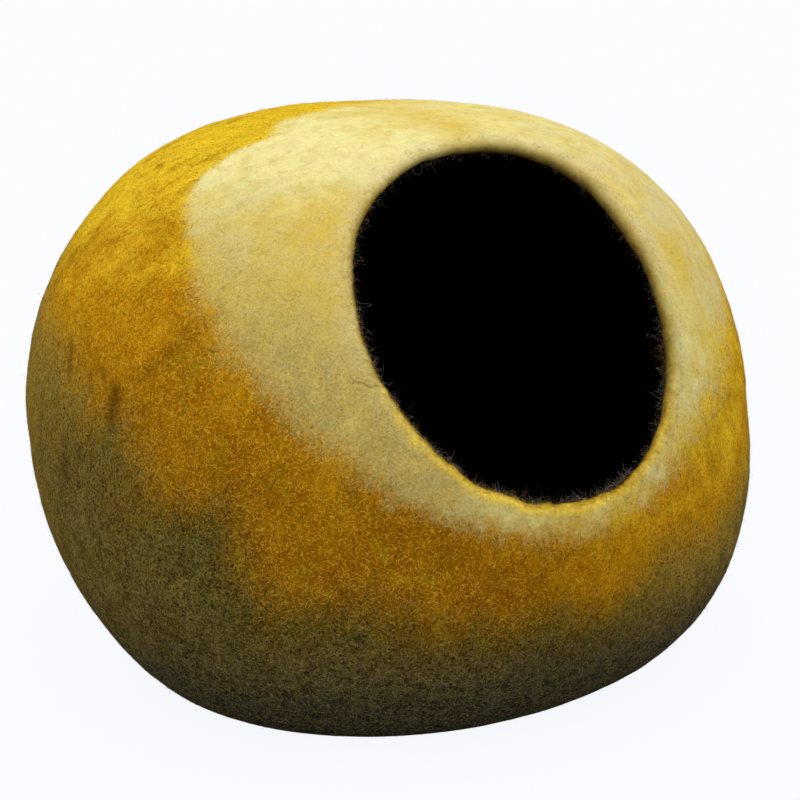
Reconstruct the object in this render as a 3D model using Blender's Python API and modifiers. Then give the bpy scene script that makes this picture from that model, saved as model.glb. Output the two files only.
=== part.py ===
"""Felt cat cave: one seamless wet-felted wool shell, a squashed round pod
that stands on a flattened base, with one tilted oval entrance at the front.

Units are metres, +Z is up, the origin is on the floor under the middle of
the pod, and the entrance faces -Y and tilts upwards.
"""
import math

import bmesh
import bpy
import numpy as np
from mathutils import Matrix, Vector

# ----------------------------------------------------------------- sizes (m)
HALF_WIDTH = 0.250        # the pod's half width, along X
HALF_DEPTH = 0.232        # its half depth, along Y, between front and back
HALF_HEIGHT = 0.2045      # its half height before the base is flattened
CENTRE_HEIGHT = 0.154     # how high the middle of the pod stands
SIDE_POWER = 2.4          # 2 is an ellipse from the side, more is squarer
FRONT_SHALLOWER = 0.105   # share by which the front is shallower than the mean
TOP_TALLER = 0.05         # share by which the crown is taller than the mean
LEAN_BACK = 0.095         # how far the crown leans back, per metre of height
CHIN_HEIGHT = 0.015       # the swell under the entrance
CHIN_ELEVATION = -15.0    # degrees
CHIN_SPREAD = 34.0        # degrees
BASE_ROUNDING = 0.018     # how softly the wall turns into the flat base
PLAN_CENTRE = (-0.0022, 0.0165)   # the middle of the outline seen from above

WALL = 0.009              # thickness of the felt
LIP_ROUNDING = 0.0042     # rounding of both edges of the entrance's lip

ENTRANCE_TILT = 37.0      # degrees the entrance looks up from the front

# The entrance's edge: half the angle it takes up, seen from the middle of the
# pod, at each direction around its axis. 0 is +X, 90 is up, 180 is -X.
ENTRANCE_EDGE = [
    # direction_deg, half_angle_deg
    (0, 26.0),
    (30, 27.1),
    (60, 31.4),
    (90, 30.6),
    (120, 28.6),
    (150, 28.2),
    (180, 29.0),
    (210, 30.1),
    (240, 32.2),
    (270, 33.8),
    (300, 33.6),
    (330, 29.2),
]

# Low swells and hollows of the hand-shaped wall. Azimuth 0 is the front,
# 90 is +X and 180 the back; elevation is from the middle of the pod.
LUMPS = [
    # azimuth_deg, elevation_deg, spread_deg, height_mm
    (52, 3, 20, -2.0),
    (61, 31, 20, -3.5),
    (74, 59, 20, 0.5),
    (150, 81, 20, -10.0),
    (-134, 59, 20, 2.5),
    (-121, 31, 20, -4.0),
    (-112, 3, 20, 6.5),
    (-101, -25, 20, -5.0),
    (-81, -50, 20, 8.0),
    (-30, -63, 20, -3.5),
    (21, -50, 20, -6.0),
    (41, -25, 20, 4.5),
    (100, -8, 24, -3.0),
    (135, 22, 26, 4.0),
    (168, -6, 24, -4.0),
    (-160, 30, 26, 3.0),
    (-148, -14, 24, 3.0),
    (178, 50, 22, -3.0),
]

AROUND = 60               # sections around the entrance's axis
RINGS = 32                # rings from the entrance's edge to the far pole
LIP_STEPS = 3             # facets across each rounding of the lip


# ------------------------------------------------------------------ the form
def direction(azimuth, elevation):
    a, e = math.radians(azimuth), math.radians(elevation)
    return Vector((math.sin(a) * math.cos(e), -math.cos(a) * math.cos(e), math.sin(e)))


def swell(d, middle, spread):
    """A round hump of height 1 about a direction, as wide as its spread."""
    off = math.acos(max(-1.0, min(1.0, d.dot(middle))))
    return math.exp(-((off / math.radians(spread)) ** 2) / 2)


LUMP_FORMS = [(direction(az, el), spread, mm / 1000) for az, el, spread, mm in LUMPS]
CHIN = direction(0, CHIN_ELEVATION)


def radius(d):
    """Distance from the middle of the pod to its outer surface."""
    depth = HALF_DEPTH * (1 + FRONT_SHALLOWER * d.y)
    height = HALF_HEIGHT * (1 + TOP_TALLER * d.z)
    plan = math.hypot(d.x / HALF_WIDTH, d.y / depth)
    r = (plan**SIDE_POWER + abs(d.z / height) ** SIDE_POWER) ** (-1 / SIDE_POWER)
    r += CHIN_HEIGHT * swell(d, CHIN, CHIN_SPREAD)
    for middle, spread, high in LUMP_FORMS:
        r += high * swell(d, middle, spread)
    return r


def on_base(z):
    """The pod's own weight flattens its underside onto the floor."""
    s = z / BASE_ROUNDING
    if s <= -1:
        return 0.0
    return z if s >= 1 else BASE_ROUNDING * (s + 1) ** 2 / 4


def surface(d):
    p = d * radius(d)
    return Vector((
        p.x - PLAN_CENTRE[0],
        p.y + LEAN_BACK * p.z - PLAN_CENTRE[1],
        on_base(p.z + CENTRE_HEIGHT),
    ))


def edge_angle(around):
    """Half angle of the entrance in one direction: a smooth closed curve
    through the rows of ENTRANCE_EDGE."""
    rows = np.array([half for _, half in ENTRANCE_EDGE])
    wave = np.fft.rfft(rows) / len(rows)
    total = wave[0].real
    for k in range(1, len(wave)):
        twice = 1 if 2 * k == len(rows) else 2
        total += twice * (wave[k].real * math.cos(k * around) - wave[k].imag * math.sin(k * around))
    return math.radians(total)


# the entrance's own axes: out through it, across it and up along it
OUT = direction(0, ENTRANCE_TILT)
ACROSS = Vector((1, 0, 0))
UP_ALONG = ACROSS.cross(OUT) * -1
if UP_ALONG.z < 0:
    UP_ALONG = -UP_ALONG


# ----------------------------------------------------------------- the solid
def felt_shell(collection):
    """A sphere opened at its pole, drawn onto the pod's form, then given the
    felt's thickness inwards and a rounded lip."""
    bm = bmesh.new()
    cap_rings = 4
    total_rings = RINGS + cap_rings
    bmesh.ops.create_uvsphere(bm, u_segments=AROUND, v_segments=total_rings, radius=1.0)
    step = math.pi / total_rings
    first = cap_rings * step
    cap = [v for v in bm.verts if math.acos(max(-1, min(1, v.co.z))) < first - step / 2]
    bmesh.ops.delete(bm, geom=cap, context="VERTS")
    for v in bm.verts:
        polar = math.acos(max(-1, min(1, v.co.z)))
        around = math.atan2(v.co.y, v.co.x) if polar < math.pi - step / 2 else 0.0
        share = (polar - first) / (math.pi - first)
        edge = edge_angle(around)
        theta = edge + (math.pi - edge) * min(1.0, max(0.0, share))
        d = math.cos(theta) * OUT + math.sin(theta) * (
            math.cos(around) * ACROSS + math.sin(around) * UP_ALONG
        )
        v.co = surface(d)
    bmesh.ops.recalc_face_normals(bm, faces=bm.faces)
    low = min(bm.faces, key=lambda f: f.calc_center_median().z)
    if low.normal.z > 0:
        bmesh.ops.reverse_faces(bm, faces=bm.faces)
    mesh = bpy.data.meshes.new("felt_shell")
    bm.to_mesh(mesh)
    bm.free()

    shell = bpy.data.objects.new("felt_shell", mesh)
    collection.objects.link(shell)
    mesh.shade_smooth()
    mesh.set_sharp_from_angle(angle=math.radians(50))

    felt = shell.modifiers.new("felt thickness", "SOLIDIFY")
    felt.thickness = WALL
    felt.offset = -1
    felt.use_even_offset = True
    lip = shell.modifiers.new("rounded lip", "BEVEL")
    lip.limit_method = "ANGLE"
    lip.angle_limit = math.radians(60)
    lip.width = LIP_ROUNDING
    lip.segments = LIP_STEPS
    return shell


def wool(name, colour, roughness):
    material = bpy.data.materials.new(name)
    material.use_nodes = True
    shader = material.node_tree.nodes["Principled BSDF"]
    shader.inputs["Base Color"].default_value = (*colour, 1)
    shader.inputs["Roughness"].default_value = roughness
    shader.inputs["Metallic"].default_value = 0.0
    return material


def main():
    for old in list(bpy.data.objects):
        bpy.data.objects.remove(old, do_unlink=True)
    collection = bpy.data.collections.new("felt_cat_cave")
    bpy.context.scene.collection.children.link(collection)
    shell = felt_shell(collection)
    shell.data.materials.append(wool("golden wool felt", (0.42, 0.24, 0.02), 0.95))


main()
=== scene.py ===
"""The looks of a felt cat cave: one seamless wet-felted wool pod in three
soft colour zones, cream round the entrance, golden mustard, then dark olive
grey down to the base, with a rounded lip, black inner wool and loose fibres.
Everything is in metres, in the part's own frame.
"""

import math

import bpy
import numpy as np
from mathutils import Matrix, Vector, noise


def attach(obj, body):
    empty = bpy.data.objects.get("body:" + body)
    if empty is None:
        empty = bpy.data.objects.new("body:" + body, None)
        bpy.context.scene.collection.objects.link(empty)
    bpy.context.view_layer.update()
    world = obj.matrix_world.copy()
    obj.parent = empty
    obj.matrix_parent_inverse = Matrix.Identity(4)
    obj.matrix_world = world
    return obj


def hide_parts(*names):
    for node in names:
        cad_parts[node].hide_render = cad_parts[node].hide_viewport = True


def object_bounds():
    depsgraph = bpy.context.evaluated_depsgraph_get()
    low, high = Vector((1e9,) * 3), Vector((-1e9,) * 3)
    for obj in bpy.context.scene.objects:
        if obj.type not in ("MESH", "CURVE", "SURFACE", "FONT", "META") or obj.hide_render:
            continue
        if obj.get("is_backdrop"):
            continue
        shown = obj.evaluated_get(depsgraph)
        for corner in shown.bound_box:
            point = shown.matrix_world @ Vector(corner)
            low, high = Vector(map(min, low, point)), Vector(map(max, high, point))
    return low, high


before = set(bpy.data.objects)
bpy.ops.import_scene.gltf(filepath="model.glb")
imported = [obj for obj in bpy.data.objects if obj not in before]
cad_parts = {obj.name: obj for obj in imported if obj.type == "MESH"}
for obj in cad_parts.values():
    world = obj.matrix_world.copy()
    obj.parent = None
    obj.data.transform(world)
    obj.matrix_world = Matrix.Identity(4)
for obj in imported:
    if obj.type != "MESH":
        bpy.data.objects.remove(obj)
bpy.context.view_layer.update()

# ----------------------------------------------------------- the pod's sizes
HALF_WIDTH, HALF_DEPTH, HALF_HEIGHT = 0.250, 0.232, 0.2045
CENTRE_HEIGHT = 0.154
SIDE_POWER = 2.4
FRONT_SHALLOWER, TOP_TALLER, LEAN_BACK = 0.105, 0.05, 0.095
CHIN_HEIGHT, CHIN_ELEVATION, CHIN_SPREAD = 0.015, -15.0, 34.0
BASE_ROUNDING = 0.018
PLAN_CENTRE = (-0.0022, 0.0165)
WALL = 0.009
ENTRANCE_TILT = 37.0

ENTRANCE_EDGE = [  # direction_deg round the entrance, half_angle_deg
    (0, 26.0), (30, 27.1), (60, 31.4), (90, 30.6), (120, 28.6), (150, 28.2),
    (180, 29.0), (210, 30.1), (240, 32.2), (270, 33.8), (300, 33.6), (330, 29.2),
]
LUMPS = [  # azimuth_deg, elevation_deg, spread_deg, height_mm
    (52, 3, 20, -2.0), (61, 31, 20, -3.5), (74, 59, 20, 0.5), (150, 81, 20, -10.0),
    (-134, 59, 20, 2.5), (-121, 31, 20, -4.0), (-112, 3, 20, 6.5), (-101, -25, 20, -5.0),
    (-81, -50, 20, 8.0), (-30, -63, 20, -3.5), (21, -50, 20, -6.0), (41, -25, 20, 4.5),
    (100, -8, 24, -3.0), (135, 22, 26, 4.0), (168, -6, 24, -4.0), (-160, 30, 26, 3.0),
    (-148, -14, 24, 3.0), (178, 50, 22, -3.0),
]

# Soft creases of the hand-worked felt, each a shallow trough between two
# directions from the middle of the pod.
CREASES = [  # azimuth_1, elevation_1, azimuth_2, elevation_2, width_mm, depth_mm
    (-87.9, 22.0, -85.8, 15.5, 4.5, 0.8),
    (-74.1, 18.8, -74.9, 12.2, 9.0, 1.5),
    (-69.4, 19.8, -65.0, 25.0, 7.5, 0.8),
    (-65.6, 24.4, -57.2, 32.6, 8.0, 0.4),
    (-94.2, 12.5, -95.8, 0.0, 5.5, 0.6),
    (-77.6, 20.6, -76.9, 17.2, 5.5, 0.8),
    (-55.2, 28.8, -49.6, 26.8, 3.5, 0.4),
    (-35.6, 23.5, -31.0, 23.1, 1.6, 1.0),
    (-84.6, 6.5, -88.0, -3.0, 6.5, 0.6),
    (-74.0, -12.0, -62.0, -20.0, 9.0, 0.5),
    (150.0, 35.0, 168.0, 30.0, 7.0, 0.9),
    (-170.0, 5.0, -150.0, 12.0, 8.0, 0.9),
    (110.0, 20.0, 122.0, 8.0, 7.0, 0.8),
]

# The colour zones are rings about one axis. Each row gives, for a direction
# round that axis, where the cream and the gold end as angles from the axis,
# how soft each edge is, and from 0 to 1 how warm, olive and grey the cream is
# there, how yellow the gold is, and how pale and how slaty the dark wool is.
ZONE_AXIS_ELEVATION = 55.0
ZONE_COLUMNS = (
    "cream_ends", "gold_ends", "cream_soft", "gold_soft", "warm", "olive", "grey", "yellow", "pale", "slate",
)
ZONE_ENDS = [
    # direction, cream_ends, gold_ends, cream_soft, gold_soft (deg), warm .. slate
    (0, 55.0, 74.0, 6.0, 6.5, 0.55, 0.10, 0.50, 0.60, 0.5, 0.6),
    (15, 56.4, 76.0, 6.0, 6.5, 0.38, 0.05, 0.45, 0.62, 0.4, 0.5),
    (30, 58.2, 78.0, 5.0, 6.5, 0.20, 0.00, 0.35, 0.60, 0.3, 0.7),
    (45, 58.6, 79.0, 4.5, 6.5, 0.20, 0.00, 0.20, 0.60, 0.3, 0.7),
    (60, 58.2, 80.0, 4.5, 6.5, 0.35, 0.00, 0.10, 0.65, 0.3, 0.7),
    (75, 56.0, 80.0, 4.5, 6.5, 0.75, 0.00, 0.00, 0.75, 0.3, 0.7),
    (90, 50.0, 80.0, 4.0, 6.5, 0.55, 0.00, 0.00, 0.90, 0.3, 0.7),
    (105, 44.6, 80.0, 2.6, 6.5, 0.15, 0.00, 0.00, 1.05, 0.4, 0.7),
    (120, 42.4, 81.0, 1.8, 6.5, 0.00, 0.00, 0.00, 1.10, 0.6, 0.5),
    (135, 41.4, 81.5, 1.3, 6.5, -0.12, 0.00, 0.00, 1.05, 0.9, 0.2),
    (150, 46.2, 80.0, 1.3, 6.5, -0.08, 0.05, 0.10, 0.80, 1.0, 0.1),
    (165, 46.6, 75.5, 1.6, 5.5, 0.62, 0.42, 0.12, 0.52, 1.0, 0.1),
    (180, 48.2, 72.6, 2.4, 6.0, 1.15, 0.62, 0.15, 0.29, 0.45, 0.4),
    (195, 48.8, 70.8, 3.0, 6.0, 1.10, 0.92, 0.15, 0.18, 0.2, 0.5),
    (210, 49.8, 71.3, 3.1, 6.0, 0.72, 1.00, 0.15, 0.14, 0.0, 0.5),
    (225, 51.3, 72.0, 3.0, 5.5, 0.55, 0.95, 0.15, 0.06, 0.1, 0.7),
    (240, 53.3, 70.3, 2.8, 5.5, 0.55, 0.70, 0.10, -0.12, 0.1, 0.9),
    (255, 55.1, 69.9, 3.2, 5.0, 0.60, 0.18, 0.00, -0.03, 0.1, 0.9),
    (270, 55.8, 70.0, 3.2, 4.5, 0.65, 0.06, 0.00, 0.22, 0.1, 1.0),
    (285, 54.3, 68.2, 3.8, 4.8, 0.60, 0.06, 0.00, 0.42, 0.6, 0.7),
    (300, 51.0, 67.5, 5.0, 5.0, 0.55, 0.12, 0.00, 0.55, 0.9, 0.7),
    (315, 49.2, 70.0, 6.0, 5.5, 0.42, 0.12, 0.05, 0.74, 1.0, 0.7),
    (330, 50.4, 72.5, 6.5, 6.5, 0.62, 0.10, 0.20, 0.68, 1.0, 0.45),
    (345, 53.0, 73.5, 6.5, 6.5, 0.74, 0.10, 0.45, 0.62, 0.5, 0.5),
]
TONGUES = [  # direction_deg, width_deg, reach_deg: how far the gold runs on
    (159, 4, 1.5), (170, 4, -2.0), (187, 3.5, -3.5), (199, 5, 1.0), (208, 5, -5.0), (222, 5, 3.0),
    (233, 4, -2.0), (246, 4, 1.5), (263, 5, -1.0), (275, 4, 1.5), (289, 6, -2.0), (304, 5, 2.0),
    (20, 7, -3.0), (48, 6, 3.0), (81, 8, -3.0), (110, 7, 2.0),
]
CREAM_TONGUES = [  # the same for the cream's own edge
    (129, 6, -1.6), (143, 5, 0.8), (156, 4, 0.5), (171, 4, 0.6), (185, 5, -0.8), (233, 5, 0.8),
]

# The lip at each direction round the entrance. Places across it are in
# millimetres from its tip, below 0 outside and above 0 inside: where its edge
# of yellow wool starts and how strong that is, strongest on the lower rim
# where it faces up into the light, so partly a painted highlight; where it
# starts to darken and where it is black; and how much paler it is just before
# that, a painted highlight on the lip's crown. Then how much further it
# reaches into the entrance, how long its roll is and how far the roll bulges
# inside.
LIP_COLUMNS = (
    "yellow_from", "yellow_lit_share", "dark_from", "dark_full", "lip_pale_highlight", "lip_reach", "lip_long", "lip_inside",
)
LIP_LOOKS = [
    (0, -7.0, 0.00, -10.0, 16.0, 0.40, 4.0, 8.0, 7.0),
    (15, -7.0, 0.00, -12.0, 15.5, 0.45, 4.4, 8.3, 7.0),
    (30, -7.0, 0.00, -12.2, 17.0, 0.55, 4.4, 8.5, 7.0),
    (45, -7.0, 0.00, -13.5, 16.0, 0.60, 3.3, 8.5, 6.8),
    (60, -7.0, 0.00, -10.5, 16.5, 0.60, 3.0, 8.5, 6.5),
    (75, -7.0, 0.00, -11.5, 16.0, 0.60, 2.8, 8.3, 6.3),
    (90, -7.0, 0.00, -6.5, 15.5, 0.50, 3.1, 8.0, 6.0),
    (105, -7.0, 0.00, -7.5, 14.0, 0.45, 2.6, 7.5, 5.8),
    (120, -7.0, 0.00, -6.3, 8.5, 0.50, 2.6, 7.0, 5.5),
    (135, -7.0, 0.00, -6.3, 4.6, 0.45, 1.4, 6.8, 5.3),
    (150, -7.0, 0.00, -6.3, 4.0, 0.40, 0.5, 6.5, 5.0),
    (165, -7.0, 0.00, -5.3, 3.0, 0.35, 1.7, 6.3, 4.9),
    (180, -7.0, 0.15, -4.6, 1.7, 0.30, 1.4, 6.0, 4.8),
    (195, -6.8, 0.35, -5.0, 1.2, 0.25, 0.7, 5.8, 4.7),
    (210, -8.0, 0.60, -4.3, 2.0, 0.20, 0.9, 5.5, 4.5),
    (225, -8.5, 0.85, -6.0, 3.0, 0.10, -0.2, 5.5, 4.5),
    (240, -8.5, 1.00, -5.0, 3.3, 0.05, -0.8, 5.5, 4.5),
    (255, -8.5, 1.00, -5.5, 4.0, 0.00, -1.1, 5.5, 4.5),
    (270, -8.5, 1.00, -6.5, 3.8, 0.00, -0.2, 5.5, 4.5),
    (285, -8.0, 0.95, -7.0, 3.6, 0.05, 0.9, 5.5, 4.6),
    (300, -7.5, 0.75, -7.5, 7.6, 0.15, 2.4, 5.5, 4.8),
    (315, -7.0, 0.45, -7.8, 11.5, 0.25, 3.3, 6.0, 5.3),
    (330, -7.0, 0.10, -11.5, 11.5, 0.40, 3.2, 6.5, 6.0),
    (345, -7.0, 0.00, -10.8, 13.2, 0.40, 4.0, 7.3, 6.6),
]
LIP_UNEVEN = [0.5, 0.5, 0.4, 0.4, 0.3, 0.3, 0.35, 0.8, 1.0, 1.0, 0.9, 0.6]  # each 30 deg

UNDER_FUZZ = 0.0014  # how far the skin lies under the outline of its fuzz
AROUND = 320        # sections of the fine surface around the entrance's axis
OUTER_RINGS = 180   # rings of the outside, from the far pole to the lip
LIP_RINGS = 14      # steps across the rolled lip, the tip at half way
INNER_RINGS = 60    # rings of the inside


# ------------------------------------------------------------------ the form
def direction(azimuth, elevation):
    a, e = math.radians(azimuth), math.radians(elevation)
    return np.array([math.sin(a) * math.cos(e), -math.cos(a) * math.cos(e), math.sin(e)])


def angle_to(d, middle):
    return np.arccos(np.clip(d @ middle, -1, 1))


def radius(d):
    depth = HALF_DEPTH * (1 + FRONT_SHALLOWER * d[..., 1])
    height = HALF_HEIGHT * (1 + TOP_TALLER * d[..., 2])
    plan = np.hypot(d[..., 0] / HALF_WIDTH, d[..., 1] / depth)
    r = (plan**SIDE_POWER + np.abs(d[..., 2] / height) ** SIDE_POWER) ** (-1 / SIDE_POWER)
    chin = angle_to(d, direction(0, CHIN_ELEVATION)) / math.radians(CHIN_SPREAD)
    r = r + CHIN_HEIGHT * np.exp(-(chin**2) / 2)
    for az, el, spread, mm in LUMPS:
        r = r + mm / 1000 * np.exp(-((angle_to(d, direction(az, el)) / math.radians(spread)) ** 2) / 2)
    return r


def surface(d):
    p = d * radius(d)[..., None]
    z = p[..., 2] + CENTRE_HEIGHT
    s = z / BASE_ROUNDING
    z = np.where(s <= -1, 0, np.where(s < 1, BASE_ROUNDING * (s + 1) ** 2 / 4, z))
    return np.stack(
        [p[..., 0] - PLAN_CENTRE[0], p[..., 1] + LEAN_BACK * p[..., 2] - PLAN_CENTRE[1], z], -1
    )


def closed_curve(rows, around):
    """A smooth closed curve through evenly spaced rows."""
    wave = np.fft.rfft(np.array(rows, float)) / len(rows)
    total = np.full_like(around, wave[0].real)
    for k in range(1, len(wave)):
        twice = 1 if 2 * k == len(rows) else 2
        total = total + twice * (wave[k].real * np.cos(k * around) - wave[k].imag * np.sin(k * around))
    return total


def axes(elevation):
    out = direction(0, elevation)
    across = np.array([1.0, 0.0, 0.0])
    up = np.cross(out, across)
    return out, across, up if up[2] > 0 else -up


def noise_at(points, scale, seed=0.0):
    """Smooth noise from -1 to 1 at each point, features about 1/scale wide."""
    flat = points.reshape(-1, 3) * scale + seed
    return np.array([noise.noise(Vector(p)) for p in flat]).reshape(points.shape[:-1])


def zones(p):
    """What the zones say at points of the pod, each as a named value."""
    d = p + np.array([PLAN_CENTRE[0], PLAN_CENTRE[1], -CENTRE_HEIGHT])
    d[..., 1] -= LEAN_BACK * d[..., 2]
    d = d / np.linalg.norm(d, axis=-1, keepdims=True)
    out, across, up = axes(ZONE_AXIS_ELEVATION)
    around = np.arctan2(d @ up, d @ across)
    polar = np.degrees(np.arccos(np.clip(d @ out, -1, 1)))
    row = {name: closed_curve([r[k] for r in ZONE_ENDS], around) for k, name in enumerate(ZONE_COLUMNS, 1)}
    turn = np.degrees(around)
    for table, column in ((TONGUES, "gold_ends"), (CREAM_TONGUES, "cream_ends")):
        for middle, width, reach in table:
            away = (turn - middle + 180) % 360 - 180
            row[column] = row[column] + reach * np.exp(-((away / width) ** 2))
    past_cream, past_gold = polar - row["cream_ends"], polar - row["gold_ends"]
    through_gold = past_cream / np.maximum(row["gold_ends"] - row["cream_ends"], 5)
    return {
        "cream_edge": past_cream / np.maximum(row["cream_soft"], 0.6),
        "gold_edge": past_gold / np.maximum(row["gold_soft"], 1.0),
        "past_gold": past_gold,
        "warm": row["warm"],
        "olive": np.clip(row["olive"], 0, 1) * np.clip((polar - 30) / 12, 0.25, 1),
        "grey": np.clip(row["grey"], 0, 1),
        "yellow": row["yellow"] - 0.22 * (np.clip(through_gold, 0, 1) - 0.4) + 0.15 * np.exp(-np.clip(past_cream, 0, None) / 4),
        "pale": np.clip(row["pale"], 0, 1),
        "slate": np.clip(row["slate"], 0, 1),
    }, np.stack([np.cos(around), np.sin(around), np.radians(polar)], -1)


def lip_looks(turn):
    return {name: closed_curve([r[k] for r in LIP_LOOKS], turn) for k, name in enumerate(LIP_COLUMNS, 1)}


def creases(d):
    """Depth in metres of the broad part of all the troughs, at directions d."""
    total = np.zeros(d.shape[:-1])
    for az1, el1, az2, el2, width, depth in CREASES:
        a, b = direction(az1, el1), direction(az2, el2)
        along = b - a
        t = ((d - a) @ along) / (along @ along)
        nearest = a + np.clip(t, 0, 1)[..., None] * along
        away = np.linalg.norm(d - nearest, axis=-1) * 0.23
        total += 0.6 * depth / 1000 * np.exp(-((away / (max(width, 5.0) / 1000)) ** 2)) * np.exp(
            -((np.clip(np.abs(t - 0.5) - 0.3, 0, None) / 0.2) ** 2)
        )
    return total


def across_and_along(p):
    """Unit normals (outwards) of a grid of points, rings by sections."""
    du = np.roll(p, -1, 1) - np.roll(p, 1, 1)
    dv = np.gradient(p, axis=0)
    n = np.cross(du, dv)
    n /= np.maximum(np.linalg.norm(n, axis=-1, keepdims=True), 1e-12)
    return n, dv


# --------------------------------------------------------------- the surface
def pod_grids():
    out, across, up = axes(ENTRANCE_TILT)
    ps = np.linspace(0, 2 * np.pi, AROUND, endpoint=False)
    edge = np.radians(closed_curve([r[1] for r in ENTRANCE_EDGE], ps))
    ring = np.cos(ps)[:, None] * across + np.sin(ps)[:, None] * up
    look = lip_looks(ps)
    uneven = 0.45 * noise_at(ring, 9.0, 8.0) + 0.30 * noise_at(ring, 21.0, 5.0)
    uneven = 0.20 * noise_at(ring, 3.1, 4.0) + uneven * closed_curve(LIP_UNEVEN, ps)
    edge = edge + np.radians(uneven) - look["lip_reach"] / 1000 / 0.235
    # the roll starts its own length short of the entrance's edge
    at_edge = np.linalg.norm(
        surface(np.cos(edge)[:, None] * out + np.sin(edge)[:, None] * ring) - np.array([0, 0, CENTRE_HEIGHT]),
        axis=-1,
    )
    start = edge + look["lip_long"] / 1000 / at_edge
    share = np.linspace(0, 1, OUTER_RINGS + 1)[1:]
    theta = np.pi - (np.pi - start)[None, :] * share[:, None]
    d = np.cos(theta)[..., None] * out + np.sin(theta)[..., None] * ring[None]
    base = surface(d)
    normal, along = across_and_along(base)
    if (normal[OUTER_RINGS // 2] * d[OUTER_RINGS // 2]).sum() < 0:
        normal = -normal

    # Unevenness of hand-felted wool: broad swells, palm-sized dents, and the
    # pebbled surface, all fading out where the base lies flat.
    rise = (
        0.0006 * noise_at(base, 11.0, 3.0)
        + 0.0007 * noise_at(base, 27.0, 7.0)
        + 0.00042 * noise_at(base, 62.0, 11.0)
        + 0.00026 * noise_at(base, 125.0, 17.0)
    )
    rise -= creases(d)
    to_lip = (theta - start[None, :]) / 0.16
    rise -= UNDER_FUZZ * (1 - np.exp(-(to_lip**2)))
    lift = np.clip(base[..., 2] / 0.02, 0, 1)
    rise *= lift * lift * (3 - 2 * lift)
    outer = base + rise[..., None] * normal
    outer[..., 2] = np.maximum(outer[..., 2], 0)

    n0 = normal[-1]
    e0 = along[-1] - (along[-1] * n0).sum(-1, keepdims=True) * n0
    e0 /= np.linalg.norm(e0, axis=-1, keepdims=True)
    r, bulge = WALL / 2, look["lip_inside"][:, None] / 1000
    centre = outer[-1] - r * n0
    phi = np.pi * np.arange(1, LIP_RINGS) / LIP_RINGS
    rounding = (
        np.cos(phi)[:, None, None] * n0[None] * np.where(phi[:, None, None] > np.pi / 2, bulge, r)
        + np.sin(phi)[:, None, None] * e0[None] * look["lip_long"][None, :, None] / 1000
    )
    lip = centre[None] + rounding
    lip += 0.00035 * noise_at(lip, 90.0, 23.0)[..., None] * rounding / np.linalg.norm(rounding, axis=-1, keepdims=True)

    pick = np.unique(np.linspace(0, OUTER_RINGS - 1, INNER_RINGS).astype(int))[::-1]
    from_lip = np.pi - theta[pick] - (np.pi - start)[None, :]
    fade = np.exp(-((from_lip / 0.12) ** 2))
    thick = WALL + (bulge[:, 0] - r)[None, :] * np.exp(-((from_lip / 0.10) ** 2))
    inner = base[pick] + (rise[-1][None, :] * fade)[..., None] * normal[pick] - thick[..., None] * normal[pick]
    rough = 0.0006 * noise_at(inner, 40.0, 31.0) * (1 - fade)
    inner += np.minimum(rough, 0.0004)[..., None] * normal[pick]
    return outer, normal, lip, inner, ps


def add_floats(mesh, name, values):
    layer = mesh.attributes.new(name, "FLOAT", "POINT")
    layer.data.foreach_set("value", np.ascontiguousarray(values, np.float32).ravel())


def add_vectors(mesh, name, values):
    layer = mesh.attributes.new(name, "FLOAT_VECTOR", "POINT")
    layer.data.foreach_set("vector", np.ascontiguousarray(values, np.float32).ravel())


def mesh_from(name, verts, faces, uv=None, collection=None):
    mesh = bpy.data.meshes.new(name)
    mesh.vertices.add(len(verts))
    mesh.vertices.foreach_set("co", np.ascontiguousarray(verts, np.float32).ravel())
    sizes = np.array([len(f) for f in faces], np.int32) if not isinstance(faces, tuple) else faces[1]
    corner = np.concatenate([np.asarray(f) for f in faces]) if not isinstance(faces, tuple) else faces[0]
    mesh.loops.add(len(corner))
    mesh.loops.foreach_set("vertex_index", np.ascontiguousarray(corner, np.int32))
    mesh.polygons.add(len(sizes))
    mesh.polygons.foreach_set("loop_start", np.concatenate([[0], np.cumsum(sizes)[:-1]]).astype(np.int32))
    mesh.update(calc_edges=True)
    if uv is not None:
        layer = mesh.uv_layers.new(name="OFBake")
        layer.data.foreach_set("uv", np.ascontiguousarray(uv, np.float32).ravel())
    mesh.shade_smooth()
    mesh.validate()
    piece = bpy.data.objects.new(name, mesh)
    bpy.context.scene.collection.objects.link(piece)
    return piece


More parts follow.
